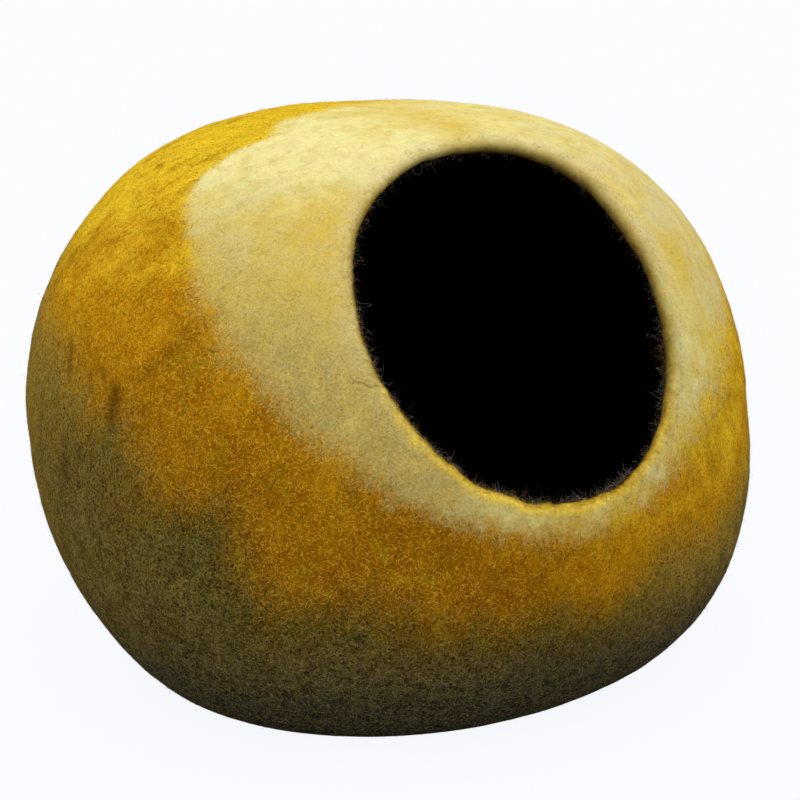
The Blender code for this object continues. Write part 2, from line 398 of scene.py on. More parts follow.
def felt_pod(outer, lip, inner, ps):
    """One closed skin: far pole outside, out to the lip, round it, and back
    inside to the far pole."""
    rows = np.concatenate([outer, lip, inner])
    n_rows = len(rows)
    pole_out = outer[0].mean(0)
    pole_in = inner[-1].mean(0)
    verts = np.concatenate([rows.reshape(-1, 3), [pole_out, pole_in]])
    i_out, i_in = n_rows * AROUND, n_rows * AROUND + 1

    j = np.arange(AROUND)
    k = (j + 1) % AROUND
    corners, sizes, uvs = [], [], []
    # the bake's map: outside in the lower 3/4, lip and inside above it
    v_row = np.concatenate([
        np.linspace(0.004, 0.80, OUTER_RINGS),
        np.linspace(0.802, 0.86, len(lip)),
        np.linspace(0.862, 0.996, len(inner)),
    ])
    for a in range(n_rows - 1):
        quad = np.stack([a * AROUND + j, a * AROUND + k, (a + 1) * AROUND + k, (a + 1) * AROUND + j], 1)
        corners.append(quad.ravel())
        sizes.append(np.full(AROUND, 4))
        u0, u1 = j / AROUND, (j + 1) / AROUND
        uvs.append(np.stack([
            np.stack([u0, np.full(AROUND, v_row[a])], 1), np.stack([u1, np.full(AROUND, v_row[a])], 1),
            np.stack([u1, np.full(AROUND, v_row[a + 1])], 1), np.stack([u0, np.full(AROUND, v_row[a + 1])], 1),
        ], 1).reshape(-1, 2))
    for pole, row, flip, v in ((i_out, 0, False, 0.001), (i_in, n_rows - 1, True, 0.999)):
        a, b = (j, k) if not flip else (k, j)
        tri = np.stack([np.full(AROUND, pole), row * AROUND + b, row * AROUND + a], 1)
        corners.append(tri.ravel())
        sizes.append(np.full(AROUND, 3))
        ua, ub = (j / AROUND, (j + 1) / AROUND) if not flip else ((j + 1) / AROUND, j / AROUND)
        uvs.append(np.stack([
            np.stack([(j + 0.5) / AROUND, np.full(AROUND, v)], 1),
            np.stack([ub, np.full(AROUND, v_row[row])], 1), np.stack([ua, np.full(AROUND, v_row[row])], 1),
        ], 1).reshape(-1, 2))
    corners, sizes, uvs = np.concatenate(corners), np.concatenate(sizes), np.concatenate(uvs)

    # outward facing: the signed volume of the skin is positive
    first = np.concatenate([[0], np.cumsum(sizes)[:-1]])
    p0, p1, p2 = (verts[corners[first + i]] for i in range(3))
    if (p0 * np.cross(p1, p2)).sum() < 0:
        order = np.concatenate([np.arange(s, s + n)[::-1] for s, n in zip(first, sizes)])
        corners, uvs = corners[order], uvs[order]
    piece = mesh_from("felt_pod", verts, (corners, sizes), uvs)

    # millimetres round the cross-section from the tip of the lip
    run = np.linalg.norm(np.diff(rows, axis=0), axis=-1)
    mm = np.concatenate([np.zeros((1, AROUND)), np.cumsum(run, 0)]) * 1000
    mm -= mm[OUTER_RINGS + LIP_RINGS // 2 - 1]
    lip_mm = np.concatenate([mm.ravel(), [mm[0].mean(), mm[-1].mean()]])
    turn = np.concatenate([np.tile(ps, n_rows), [0.0, 0.0]])
    add_looks(piece.data, verts.copy(), lip_mm, turn)
    add_floats(piece.data, "tone", np.zeros(len(verts)))
    return piece, mm


def add_looks(mesh, points, lip_mm, turn, repeat=1):
    """Everything that the wool's colour is worked out from."""
    said, place = zones(points)
    look = lip_looks(turn)
    said["yellow_at"] = lip_mm - look["yellow_from"]
    said["yellow_lit_share"] = np.clip(look["yellow_lit_share"], 0, 1)
    said["lip_pale_highlight"] = np.clip(look["lip_pale_highlight"], 0, 1)
    said["lip_mm"] = lip_mm
    said["to_black"] = (lip_mm - look["dark_from"]) / np.maximum(look["dark_full"] - look["dark_from"], 1.5)
    for name, values in said.items():
        add_floats(mesh, name, np.repeat(values, repeat))
    add_vectors(mesh, "zone_place", np.repeat(place, repeat, axis=0))


# ------------------------------------------------------------------- fibres
def fibres(name, roots, normals, heading, length, curl, lift, thick, rings, seed, lip_mm, turn, free=0.5, stay=True, flat=1.6):
    """Loose wool fibres as one mesh: thin closed three-sided threads that
    taper to both ends, lie along the surface, curl, and rise off it."""
    rng = np.random.default_rng(seed)
    n = len(roots)
    points = rings + 2
    t1 = np.cross(normals, np.where(np.abs(normals[:, 2:3]) < 0.9, [[0.0, 0.0, 1.0]], [[1.0, 0.0, 0.0]]))
    t1 /= np.linalg.norm(t1, axis=1, keepdims=True)
    t2 = np.cross(normals, t1)
    swing = rng.normal(0, 1, (n, 1)) * curl * np.linspace(-0.5, 0.5, points)[None] + np.cumsum(
        rng.normal(0, 0.8 / points, (n, points)) * curl, 1
    )
    a = heading[:, None] + swing
    step = (length / (points - 1))[:, None]
    x = np.concatenate([np.zeros((n, 1)), np.cumsum(np.cos(a[:, :-1]) * step, 1)], 1)
    y = np.concatenate([np.zeros((n, 1)), np.cumsum(np.sin(a[:, :-1]) * step, 1)], 1)
    s = np.linspace(0, 1, points)[None]
    loose = (rng.random((n, 1)) < free).astype(float)
    arch = np.sin(np.pi * s) ** 0.8
    rise = lift[:, None] * (loose * s**1.3 * 1.2 + (1 - loose) * arch)
    rise = rise + rng.normal(0, 0.10, (n, points)) * lift[:, None] * np.minimum(1, s * 3)
    if stay:
        rise = rise - (x * x + y * y) / (2 * 0.23)
    rise[:, 0] -= 0.0002
    path = roots[:, None] + x[..., None] * t1[:, None] + y[..., None] * t2[:, None] + rise[..., None] * normals[:, None]
    path[..., 2] = np.maximum(path[..., 2], 0.0006)
    tangent = np.gradient(path, axis=1)
    tangent /= np.maximum(np.linalg.norm(tangent, axis=-1, keepdims=True), 1e-9)
    side = np.cross(tangent, normals[:, None])
    side /= np.maximum(np.linalg.norm(side, axis=-1, keepdims=True), 1e-9)
    up = np.cross(side, tangent)
    taper = (0.45 + 0.55 * np.sin(np.pi * s[0, 1:-1]))[None, :, None, None] * thick[:, None, None, None]
    # a low ridge: two edges on the felt and a crest between them
    wide, high = np.array([0.0, -1.0, 1.0]), np.array([flat, 0.0, 0.0])
    ring = path[:, 1:-1, None] + taper * (
        wide[None, None, :, None] * side[:, 1:-1, None] + high[None, None, :, None] * up[:, 1:-1, None]
    )
    verts = np.concatenate([path[:, :1], ring.reshape(n, -1, 3), path[:, -1:]], 1)
    per = verts.shape[1]
    tris = [(0, 1 + (i + 1) % 3, 1 + i) for i in range(3)]
    quads = [
        (1 + 3 * r + i, 1 + 3 * r + (i + 1) % 3, 4 + 3 * r + (i + 1) % 3, 4 + 3 * r + i)
        for r in range(rings - 1)
        for i in range(3)
    ]
    last = 1 + 3 * (rings - 1)
    ends = [(last + i, last + (i + 1) % 3, per - 1) for i in range(3)]
    one = np.array([v for f in tris + quads + ends for v in f])
    sizes = np.array([len(f) for f in tris + quads + ends])
    corners = (np.arange(n)[:, None] * per + one[None]).ravel()
    # the bake's map: each fibre has its own small cell
    cols = int(math.ceil(math.sqrt(n)))
    cell = 1.0 / cols
    ring_of = np.zeros(per)
    ring_of[1:-1] = (np.arange(per - 2) // 3 + 1) / (points - 1)
    ring_of[-1] = 1
    around_of = np.zeros(per) + 0.5
    around_of[1:-1] = (np.arange(per - 2) % 3) / 2
    local = np.stack([0.1 + 0.8 * ring_of[one], 0.1 + 0.8 * around_of[one]], 1) * cell
    origin = np.stack([(np.arange(n) % cols) * cell, (np.arange(n) // cols) * cell], 1)
    uv = (origin[:, None] + local[None]).reshape(-1, 2)
    piece = mesh_from(name, verts.reshape(-1, 3), (corners, np.tile(sizes, n)), uv)
    add_looks(piece.data, roots.copy(), lip_mm, turn, per)
    add_floats(piece.data, "tone", np.repeat(rng.uniform(-1, 1, n), per))
    return piece


def scatter(grid, normal, count, seed, weight=None):
    """Random places spread evenly over a grid surface: points and normals."""
    rng = np.random.default_rng(seed)
    a = np.roll(grid, -1, 1)[:-1] - grid[:-1]
    b = grid[1:] - grid[:-1]
    area = np.linalg.norm(np.cross(a, b), axis=-1)
    if weight is not None:
        area = area * weight[:-1]
    flat = area.ravel() / area.sum()
    pick = rng.choice(len(flat), count, p=flat)
    i, j = np.unravel_index(pick, area.shape)
    u, v = rng.random((2, count, 1))
    k = (j + 1) % grid.shape[1]

    def blend(g):
        return (g[i, j] * (1 - u) + g[i, k] * u) * (1 - v) + (g[i + 1, j] * (1 - u) + g[i + 1, k] * u) * v

    p, n = blend(grid), blend(normal)
    return p, n / np.linalg.norm(n, axis=1, keepdims=True), i + v[:, 0], (j + u[:, 0]) / grid.shape[1] * 2 * np.pi


# ---------------------------------------------------------------- materials
def rgb(r, g, b):
    """A colour as the eye reads it, 0 to 255, turned to scene values."""
    return tuple((c / 255 / 12.92) if c / 255 <= 0.04045 else ((c / 255 + 0.055) / 1.055) ** 2.4 for c in (r, g, b)) + (1.0,)


class Nodes:
    """Short ways to lay out a shader."""

    def __init__(self, tree):
        self.tree = tree

    def new(self, kind, **settings):
        node = self.tree.nodes.new(kind)
        for k, v in settings.items():
            setattr(node, k, v)
        return node

    def link(self, a, b):
        self.tree.links.new(a, b)

    def feed(self, socket, value):
        if hasattr(value, "is_output"):
            self.link(value, socket)
        else:
            socket.default_value = value

    def math(self, op, a, b=0.0, c=0.0, clamp=False):
        node = self.new("ShaderNodeMath", operation=op, use_clamp=clamp)
        for s, v in zip(node.inputs, (a, b, c)):
            self.feed(s, v)
        return node.outputs[0]

    def attribute(self, name, kind="Fac"):
        return self.new("ShaderNodeAttribute", attribute_name=name).outputs[kind]

    def noise(self, vector, scale, detail=2.0, rough=0.5, distortion=0.0, colour=False):
        node = self.new("ShaderNodeTexNoise")
        self.feed(node.inputs["Vector"], vector)
        node.inputs["Scale"].default_value = scale
        node.inputs["Detail"].default_value = detail
        node.inputs["Roughness"].default_value = rough
        node.inputs["Distortion"].default_value = distortion
        return node.outputs["Color" if colour else "Fac"]

    def vector(self, op, a, b=None, scale=None):
        node = self.new("ShaderNodeVectorMath", operation=op)
        self.feed(node.inputs[0], a)
        if b is not None:
            self.feed(node.inputs[1], b)
        if scale is not None:
            self.feed(node.inputs["Scale"], scale)
        return node.outputs[0]

    def dot(self, a, b):
        node = self.new("ShaderNodeVectorMath", operation="DOT_PRODUCT")
        self.feed(node.inputs[0], a)
        self.feed(node.inputs[1], b)
        return node.outputs["Value"]

    def length(self, a):
        node = self.new("ShaderNodeVectorMath", operation="LENGTH")
        self.feed(node.inputs[0], a)
        return node.outputs["Value"]

    def step(self, value, low, high):
        """0 below low, 1 above high, smooth between."""
        node = self.new("ShaderNodeMapRange", interpolation_type="SMOOTHSTEP")
        self.feed(node.inputs["Value"], value)
        node.inputs["From Min"].default_value = low
        node.inputs["From Max"].default_value = high
        return node.outputs["Result"]

    def span(self, value, low, high, to_low, to_high):
        node = self.new("ShaderNodeMapRange")
        self.feed(node.inputs["Value"], value)
        for k, v in (("From Min", low), ("From Max", high), ("To Min", to_low), ("To Max", to_high)):
            node.inputs[k].default_value = v
        return node.outputs["Result"]

    def mix(self, share, a, b, blend="MIX"):
        node = self.new("ShaderNodeMix", data_type="RGBA", blend_type=blend)
        self.feed(node.inputs["Factor"], share)
        self.feed(node.inputs[6], a)
        self.feed(node.inputs[7], b)
        return node.outputs[2]


CREAM, CREAM_WARM, CREAM_GREY, CREAM_OLIVE = rgb(216, 206, 138), rgb(202, 173, 72), rgb(194, 178, 124), rgb(180, 157, 80)
GOLD_YELLOW, GOLD, GOLD_BROWN = rgb(207, 172, 32), rgb(175, 124, 9), rgb(142, 92, 6)
GOLD_RED, GOLD_OLIVE = rgb(128, 70, 2), rgb(154, 120, 14)
DARK_OLIVE, DARK_BROWN, DARK_GREEN = rgb(104, 86, 24), rgb(84, 56, 12), rgb(80, 72, 18)
DARK_KHAKI, DARK_COAL, DARK_PALE = rgb(114, 101, 54), rgb(58, 50, 26), rgb(140, 112, 38)
BASE_GREY, BASE_COAL, BASE_EDGE_SHADE = rgb(70, 65, 51), rgb(44, 40, 33), rgb(31, 36, 34)
PALE_CREAM, PALE_GOLD, PALE_DARK = rgb(228, 213, 152), rgb(226, 176, 52), rgb(154, 136, 76)
LIP_YELLOW_LIT, LIP_BEIGE_HIGHLIGHT = rgb(242, 208, 68), rgb(200, 185, 135)
INSIDE = rgb(14, 10, 8)


def felt_colour(n, place):
    """The wool's colour from where it lies: three zones with feathered,
    tongued edges, each one mottled."""
    comb = n.vector("MULTIPLY", n.attribute("zone_place", "Vector"), (1.0, 1.0, 0.25))
    tongues = n.math("SUBTRACT", n.noise(comb, 12.0, 2.0, 0.6), 0.5)
    streaks = n.math("SUBTRACT", n.noise(comb, 42.0, 2.0, 0.6), 0.5)
    broad = n.math("SUBTRACT", n.noise(place, 15.0, 2.0, 0.55), 0.5)
    patch = n.math("SUBTRACT", n.noise(n.vector("ADD", place, (3.1, 1.7, 0.4)), 34.0, 2.0, 0.6), 0.5)
    small = n.math("SUBTRACT", n.noise(n.vector("ADD", place, (7.7, 2.9, 5.2)), 85.0, 2.0, 0.65), 0.5)
    fray = n.math("SUBTRACT", n.noise(place, 300.0, 2.0, 0.8), 0.5)

    def sum_of(start, *parts):
        for value, much in parts:
            start = n.math("ADD", start, n.math("MULTIPLY", value, much))
        return start

    to_gold = n.step(sum_of(n.attribute("cream_edge"), (tongues, 0.5), (streaks, 0.7), (patch, 1.2), (small, 1.6), (fray, 1.6)), -1.1, 1.1)
    to_dark = n.step(sum_of(n.attribute("gold_edge"), (tongues, 1.2), (streaks, 1.3), (patch, 1.0), (small, 1.3), (fray, 1.4)), -1.1, 1.1)

    cream = n.mix(sum_of(n.attribute("warm"), (broad, 1.1), (patch, 1.2), (small, 0.8)), CREAM, CREAM_WARM)
    cream = n.mix(sum_of(n.attribute("grey"), (patch, -1.8), (small, 1.0)), cream, CREAM_GREY)
    cream = n.mix(sum_of(n.attribute("olive"), (small, 1.0), (patch, 1.0)), cream, CREAM_OLIVE)
    mottled = n.math("MULTIPLY", sum_of(0.0, (patch, 0.55), (small, 0.75)), n.attribute("olive"))
    cream = n.mix(1.0, cream, grey(n, n.math("ADD", 1.0, mottled)), "MULTIPLY")
    yellow = sum_of(n.attribute("yellow"), (patch, 0.9), (small, 0.7))
    gold = n.mix(n.span(yellow, 0.0, 0.5, 0.0, 1.0), GOLD_BROWN, GOLD)
    gold = n.mix(n.span(yellow, 0.5, 1.0, 0.0, 1.0), gold, GOLD_YELLOW)
    rusty = n.math("MULTIPLY", n.step(sum_of(0.0, (broad, 0.6), (small, 1.0), (streaks, 0.6)), 0.04, 0.26), n.span(yellow, 0.1, 0.8, 0.75, 0.0))
    gold = n.mix(rusty, gold, GOLD_RED)
    gold = n.mix(n.math("MULTIPLY", n.step(sum_of(0.0, (patch, -1.0), (small, -0.7)), 0.06, 0.26), 0.6), gold, GOLD_OLIVE)
    # dark wool: olive and brown next to the gold, then khaki and coal, then
    # nearly black towards the base, all of it broken into small flecks; the last
    # band along the floor is dark wool with painted contact shade
    fleck = n.math("SUBTRACT", n.noise(n.vector("ADD", place, (1.3, 6.1, 9.2)), 170.0, 3.0, 0.75), 0.5)
    dark = n.mix(n.span(sum_of(0.5, (small, 1.4), (fleck, 1.2), (streaks, 0.8)), 0.25, 0.75, 0.0, 1.0), DARK_OLIVE, DARK_BROWN)
    dark = n.mix(n.step(sum_of(0.0, (patch, 1.0), (broad, 0.8), (fleck, 0.5)), -0.08, 0.18), dark, DARK_GREEN)
    dark = n.mix(sum_of(n.attribute("pale"), (small, 0.9), (patch, 0.9)), dark, DARK_PALE)
    far = n.step(sum_of(n.attribute("past_gold"), (patch, 20.0), (small, 14.0), (fleck, 8.0)), 2.0, 15.0)
    khaki = n.mix(n.span(sum_of(0.5, (small, 1.8), (fleck, 2.0), (patch, 1.0)), 0.2, 0.8, 0.0, 1.0), DARK_KHAKI, DARK_COAL)
    dark = n.mix(n.math("MULTIPLY", far, n.attribute("slate")), dark, khaki)
    high = n.new("ShaderNodeSeparateXYZ")
    n.feed(high.inputs[0], place)
    base = n.mix(n.span(sum_of(0.5, (small, 1.6), (fleck, 2.2)), 0.2, 0.8, 0.0, 1.0), BASE_GREY, BASE_COAL)
    dark = n.mix(n.step(sum_of(high.outputs[2], (patch, 0.06), (small, 0.04)), 0.095, 0.022), dark, base)
    # painted shade: the band just above the floor is darkened further, contact shade on top of the dark wool
    dark = n.mix(n.step(sum_of(high.outputs[2], (small, 0.02)), 0.026, 0.008), dark, BASE_EDGE_SHADE)
    colour = n.mix(to_gold, cream, gold)
    colour = n.mix(to_dark, colour, dark)
    # faint streaks run down from the entrance; the troughs of the creases are painted darker, as shade, in
    # wool_material
    combed = n.span(sum_of(0.0, (streaks, 1.0), (tongues, 0.5)), -0.25, 0.25, 0.86, 1.14)
    combed = n.math("ADD", 1.0, n.math("MULTIPLY", n.math("SUBTRACT", combed, 1.0), to_gold))
    return n.mix(1.0, colour, grey(n, combed), "MULTIPLY"), to_gold, to_dark


def painted_crease_shade(n, place):
    """How deep in the middle of a crease each place is, about 0 to 1; it sets the painted shade in the creases."""
    moved = n.vector("ADD", place, (PLAN_CENTRE[0], PLAN_CENTRE[1], -CENTRE_HEIGHT))
    parts = n.new("ShaderNodeSeparateXYZ")
    n.feed(parts.inputs[0], moved)
    back = n.new("ShaderNodeCombineXYZ")
    n.feed(back.inputs[1], n.math("MULTIPLY", parts.outputs[2], LEAN_BACK))
    d = n.vector("NORMALIZE", n.vector("SUBTRACT", moved, back.outputs[0]))
    wander = n.vector("SUBTRACT", n.noise(place, 55.0, 2.0, 0.6, colour=True), (0.5, 0.5, 0.5))
    d = n.vector("ADD", d, n.vector("SCALE", wander, scale=0.05))
    total = None
    for az1, el1, az2, el2, width, depth in CREASES:
        a, b = direction(az1, el1), direction(az2, el2)
        side = np.cross(a, b) / np.linalg.norm(np.cross(a, b))
        along = (b - a) / ((b - a) @ (b - a))
        away = n.math("ABSOLUTE", n.dot(d, tuple(side)))
        t = n.math("ABSOLUTE", n.math("SUBTRACT", n.dot(d, tuple(along)), float(a @ along) + 0.5))
        line = n.math("MULTIPLY", n.step(away, width / 235, 0.0), n.step(t, 0.62, 0.28))
        this_side = n.step(n.dot(d, tuple(a + b)), 0.4, 1.2)
        line = n.math("MULTIPLY", line, n.math("MULTIPLY", this_side, depth))
        total = line if total is None else n.math("ADD", total, line)
    return total


def fibre_net(n, place):
    """Fine fibres lying across each other on top of the felt: lines of even
    width along several levels of smooth noise, three layers of them, each
    fading in and out, and the hollows between them, for painted shade and bump."""
    normal = n.new("ShaderNodeNewGeometry").outputs["Normal"]
    warp = n.vector("SCALE", n.vector("SUBTRACT", n.noise(place, 240.0, 1.0, 0.7, colour=True), (0.5, 0.5, 0.5)), scale=0.0036)
    warped = n.vector("ADD", place, warp)
    net = None
    for shift, scale, levels, width in (
        ((0.0, 0.0, 0.0), 140.0, 5.5, 0.00034), ((5.3, 2.1, 7.7), 200.0, 4.0, 0.00032), ((2.2, 6.1, 1.3), 290.0, 2.6, 0.00030),
    ):
        at = n.vector("ADD", warped, shift)
        value = n.noise(at, scale, 0.0)
        reach = 0.10 / scale
        slope = n.new("ShaderNodeCombineXYZ")
        for k in range(3):
            aside = n.noise(n.vector("ADD", at, tuple(reach if i == k else 0.0 for i in range(3))), scale, 0.0)
            n.feed(slope.inputs[k], n.math("SUBTRACT", aside, value))
        through = n.vector("SCALE", normal, scale=n.dot(slope.outputs[0], normal))
        steep = n.math("DIVIDE", n.length(n.vector("SUBTRACT", slope.outputs[0], through)), reach / levels)
        away = n.math("ABSOLUTE", n.math("SUBTRACT", n.math("FRACT", n.math("MULTIPLY", value, levels)), 0.5))
        away = n.math("DIVIDE", away, n.math("MAXIMUM", steep, scale * levels * 0.25))
        line = n.math("SUBTRACT", 1.0, n.math("DIVIDE", away, width), clamp=True)
        line = n.math("MULTIPLY", line, n.step(n.noise(n.vector("ADD", place, shift), 380.0, 0.0), 0.44, 0.58))
        net = line if net is None else n.math("MAXIMUM", net, line)
    return net, n.noise(warped, 620.0, 2.0, 0.75)


def grey(n, value):
    node = n.new("ShaderNodeCombineColor")
    for socket in node.inputs:
        n.feed(socket, value)
    return node.outputs[0]


def finish_wool(shader):
    shader.inputs["Specular IOR Level"].default_value = 0.0
    shader.inputs["Sheen Weight"].default_value = 0.01
    shader.inputs["Sheen Roughness"].default_value = 0.5
    shader.inputs["Sheen Tint"].default_value = (1.0, 0.84, 0.45, 1.0)


def wool_material(name, on_pod):
    material = bpy.data.materials.new(name)
    material.use_nodes = True
    shader = material.node_tree.nodes["Principled BSDF"]
    n = Nodes(material.node_tree)
    place = n.new("ShaderNodeTexCoord").outputs["Object"]
    colour, to_gold, to_dark = felt_colour(n, place)
    pale = n.mix(to_dark, n.mix(to_gold, PALE_CREAM, PALE_GOLD), PALE_DARK)
    fray = n.math("SUBTRACT", n.noise(place, 260.0, 2.0, 0.75), 0.5)
    swell = n.math("SUBTRACT", n.noise(place, 60.0, 2.0, 0.6), 0.5)

    def shifted(name, by_fray, by_swell):
        value = n.math("ADD", n.attribute(name), n.math("MULTIPLY", fray, by_fray))
        return n.math("ADD", value, n.math("MULTIPLY", swell, by_swell))

    # the lip: a painted highlight of paler wool on its crown, then an edge of yellow wool, partly a painted highlight
    # on the lit lower rim, both broken up
    before_dark = shifted("to_black", n.span(n.attribute("lip_pale_highlight"), 0.1, 0.5, 0.5, 0.14), 0.22)
    # painted highlight: the lip's crown is paler, most at the top and right, where it catches the light
    beige_highlight = n.math("MULTIPLY", n.step(shifted("lip_mm", 8.0, 12.0), -20.0, -7.0), n.attribute("lip_pale_highlight"))
    colour = n.mix(n.math("MULTIPLY", beige_highlight, 0.8), colour, LIP_BEIGE_HIGHLIGHT)
    # yellow wool on the lip's edge, its share by direction a painted highlight: full on the lower rim that faces up
    # into the light, none where the lip is in shade
    yellow = n.math("MULTIPLY", n.step(shifted("yellow_at", 5.0, 9.0), -3.5, 4.5), n.attribute("yellow_lit_share"))
    colour = n.mix(n.math("MULTIPLY", yellow, n.span(swell, -0.2, 0.2, 0.75, 1.0)), colour, LIP_YELLOW_LIT)
    if on_pod:
        net, ground = fibre_net(n, place)
        # fine grain, painted shade in the hollows between the fibres, paler fibres on top
        grain = n.math("SUBTRACT", n.noise(place, 700.0, 2.0, 0.8), 0.5)
        much = n.math("ADD", n.span(n.attribute("olive"), 0.0, 1.0, 0.24, 0.66), n.math("MULTIPLY", to_dark, 0.9))
        much = n.math("ADD", much, n.math("MULTIPLY", to_gold, n.span(n.attribute("olive"), 0.0, 1.0, 0.80, 0.38)))
        grain_and_hollow_shade = n.math("ADD", 1.03, n.math("MULTIPLY", n.math("MULTIPLY", grain, 1.4), much))
        # painted shade: the hollows between the fibres are darkened
        grain_and_hollow_shade = n.math("SUBTRACT", grain_and_hollow_shade, n.math("MULTIPLY", n.step(ground, 0.50, 0.30), n.math("MULTIPLY", much, 0.46)))
        colour = n.mix(1.0, colour, grey(n, grain_and_hollow_shade), "MULTIPLY")
        strength = n.math("ADD", n.span(n.attribute("olive"), 0.0, 1.0, 0.24, 0.36), n.math("ADD", n.math("MULTIPLY", to_gold, 0.26), n.math("MULTIPLY", to_dark, 0.06)))
        colour = n.mix(n.math("MULTIPLY", net, strength), colour, pale)
        # painted shade: the troughs of the creases are darkened in the colour
        crease_shade_share = painted_crease_shade(n, place)
        colour = n.mix(1.0, colour, n.mix(n.math("MULTIPLY", crease_shade_share, 0.44), (1.0, 1.0, 1.0, 1.0), rgb(118, 92, 60)), "MULTIPLY")
        inside = n.mix(n.math("MULTIPLY", net, 0.3), INSIDE, rgb(34, 26, 20))
    else:
        tone = n.attribute("tone")
        colour = n.mix(n.math("MULTIPLY", n.step(tone, -0.2, 1.0), 0.75), colour, pale)
        colour = n.mix(n.math("MULTIPLY", n.step(tone, -0.3, -1.0), 0.35), colour, n.mix(1.0, colour, rgb(170, 160, 150), "MULTIPLY"))
        inside = INSIDE
    # from the lip inwards the wool darkens: browner, then black
    lit = n.math("SUBTRACT", 1.0, n.step(before_dark, 0.0, 1.0))
    left = n.new("ShaderNodeCombineColor")
    for socket, power in zip(left.inputs, (1.5, 1.8, 3.0)):
        n.feed(socket, n.math("POWER", lit, power))
    colour = n.mix(1.0, colour, left.outputs[0], "MULTIPLY")
    colour = n.mix(n.step(before_dark, 0.80, 1.02), colour, inside)
    if on_pod:
        height = n.math("ADD", n.math("MULTIPLY", ground, 1.0), n.math("MULTIPLY", n.noise(place, 110.0, 2.0, 0.6), 1.6))
        bump = n.new("ShaderNodeBump")
        bump.inputs["Strength"].default_value = 0.35
        bump.inputs["Distance"].default_value = 0.0008
        n.feed(bump.inputs["Height"], height)
        n.link(bump.outputs[0], shader.inputs["Normal"])
        n.feed(shader.inputs["Roughness"], n.span(net, 0.0, 1.0, 0.96, 0.84))
    else:
        shader.inputs["Roughness"].default_value = 0.85
    n.link(colour, shader.inputs["Base Color"])
    finish_wool(shader)
    return material


def inner_fuzz_material():
    material = bpy.data.materials.new("inner wool fuzz")
    material.use_nodes = True
    shader = material.node_tree.nodes["Principled BSDF"]
    n = Nodes(material.node_tree)
    tone = n.attribute("tone")
    place = n.new("ShaderNodeTexCoord").outputs["Object"]
    colour = n.mix(n.step(tone, 0.0, 1.0), rgb(22, 18, 16), rgb(206, 182, 158))
    colour = n.mix(n.math("MULTIPLY", n.step(n.noise(place, 70.0, 2.0), 0.50, 0.62), 0.6), colour, rgb(70, 92, 66))
    colour = n.mix(n.math("MULTIPLY", n.step(n.noise(n.vector("ADD", place, (4.0, 1.0, 2.0)), 60.0, 2.0), 0.54, 0.68), 0.6), colour, rgb(150, 98, 40))
    n.link(colour, shader.inputs["Base Color"])
    shader.inputs["Roughness"].default_value = 0.8
    shader.inputs["Specular IOR Level"].default_value = 0.2
    return material


# -------------------------------------------------------------------- build
outer, normal, lip, inner, ps = pod_grids()
pod, grid_mm = felt_pod(outer, lip, inner, ps)
pod.data.materials.append(wool_material("wet-felted wool", True))
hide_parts("felt_shell")
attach(pod, "root")

hair_material = wool_material("loose wool fibres", False)
FIBRES_A_PIECE, FIBRE_PIECES = 9000, 4
above_floor = np.clip((outer[..., 2] - 0.004) / 0.01, 0.02, 1)
for k in range(FIBRE_PIECES):
    rng = np.random.default_rng(100 + k)
    p, nrm, row, turn = scatter(outer, normal, FIBRES_A_PIECE, 200 + k, above_floor)
    column = (turn / (2 * np.pi) * AROUND).astype(int) % AROUND
    low = np.minimum(row.astype(int), OUTER_RINGS - 2)
    lip_mm = grid_mm[low, column] * (1 - row + low) + grid_mm[low + 1, column] * (row - low)
    # the cream wool is felted harder, so its fibres lie closer
    close = 1 - 0.5 * np.clip(0.3 - zones(p.copy())[0]["cream_edge"], 0, 1)
    stands = rng.random(len(p)) < 0.25
    fuzz = fibres(
        "wool_fibres_%d" % (k + 1), p, nrm, rng.uniform(0, 2 * np.pi, len(p)),
        length=rng.uniform(0.004, 0.013, len(p)), curl=1.5,
        lift=np.where(stands, rng.gamma(2.0, 0.00042, len(p)), rng.uniform(0.0001, 0.0003, len(p))) * close,
        thick=rng.uniform(0.00006, 0.00014, len(p)) * np.where(stands, 0.6, 1.0) * close,
        rings=3, seed=300 + k, flat=0.45, lip_mm=lip_mm, turn=turn,
    )
    fuzz.data.materials.append(hair_material)
    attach(fuzz, "root")


whole_grid = np.concatenate([outer, lip, inner])
wall_middle = (outer[-1] + inner[0]) / 2


def on_lip(mm, turn, rng):
    """Places so many millimetres across the lip, and which way is off it."""
    column = (turn / (2 * np.pi) * AROUND).astype(int) % AROUND
    rows = np.arange(len(whole_grid))
    row = np.array([np.interp(m, grid_mm[:, c], rows) for m, c in zip(mm, column)])
    r0 = row.astype(int)
    f = (row - r0)[:, None]
    p = whole_grid[r0, column] * (1 - f) + whole_grid[r0 + 1, column] * f
    p += (whole_grid[r0, (column + 1) % AROUND] - whole_grid[r0, column]) * rng.random((len(turn), 1))
    nrm = p - wall_middle[column]
    return p, nrm / np.linalg.norm(nrm, axis=1, keepdims=True)


def clumped(share, count, rng, clumps=0.0):
    """Directions round the entrance, as thick as share says at each 30
    degrees, and gathered into clumps."""
    turn = rng.uniform(0, 2 * np.pi, count * 12)
    keep = np.clip(closed_curve(share, turn), 0.02, 1)
    around = np.stack([np.cos(turn), np.sin(turn), np.zeros_like(turn)], -1)
    keep = keep * np.clip(1 - clumps + clumps * (1.2 + 3.4 * noise_at(around, 13.0, 2.0)), 0.04, 1)
    return turn[rng.random(len(turn)) < keep][:count]


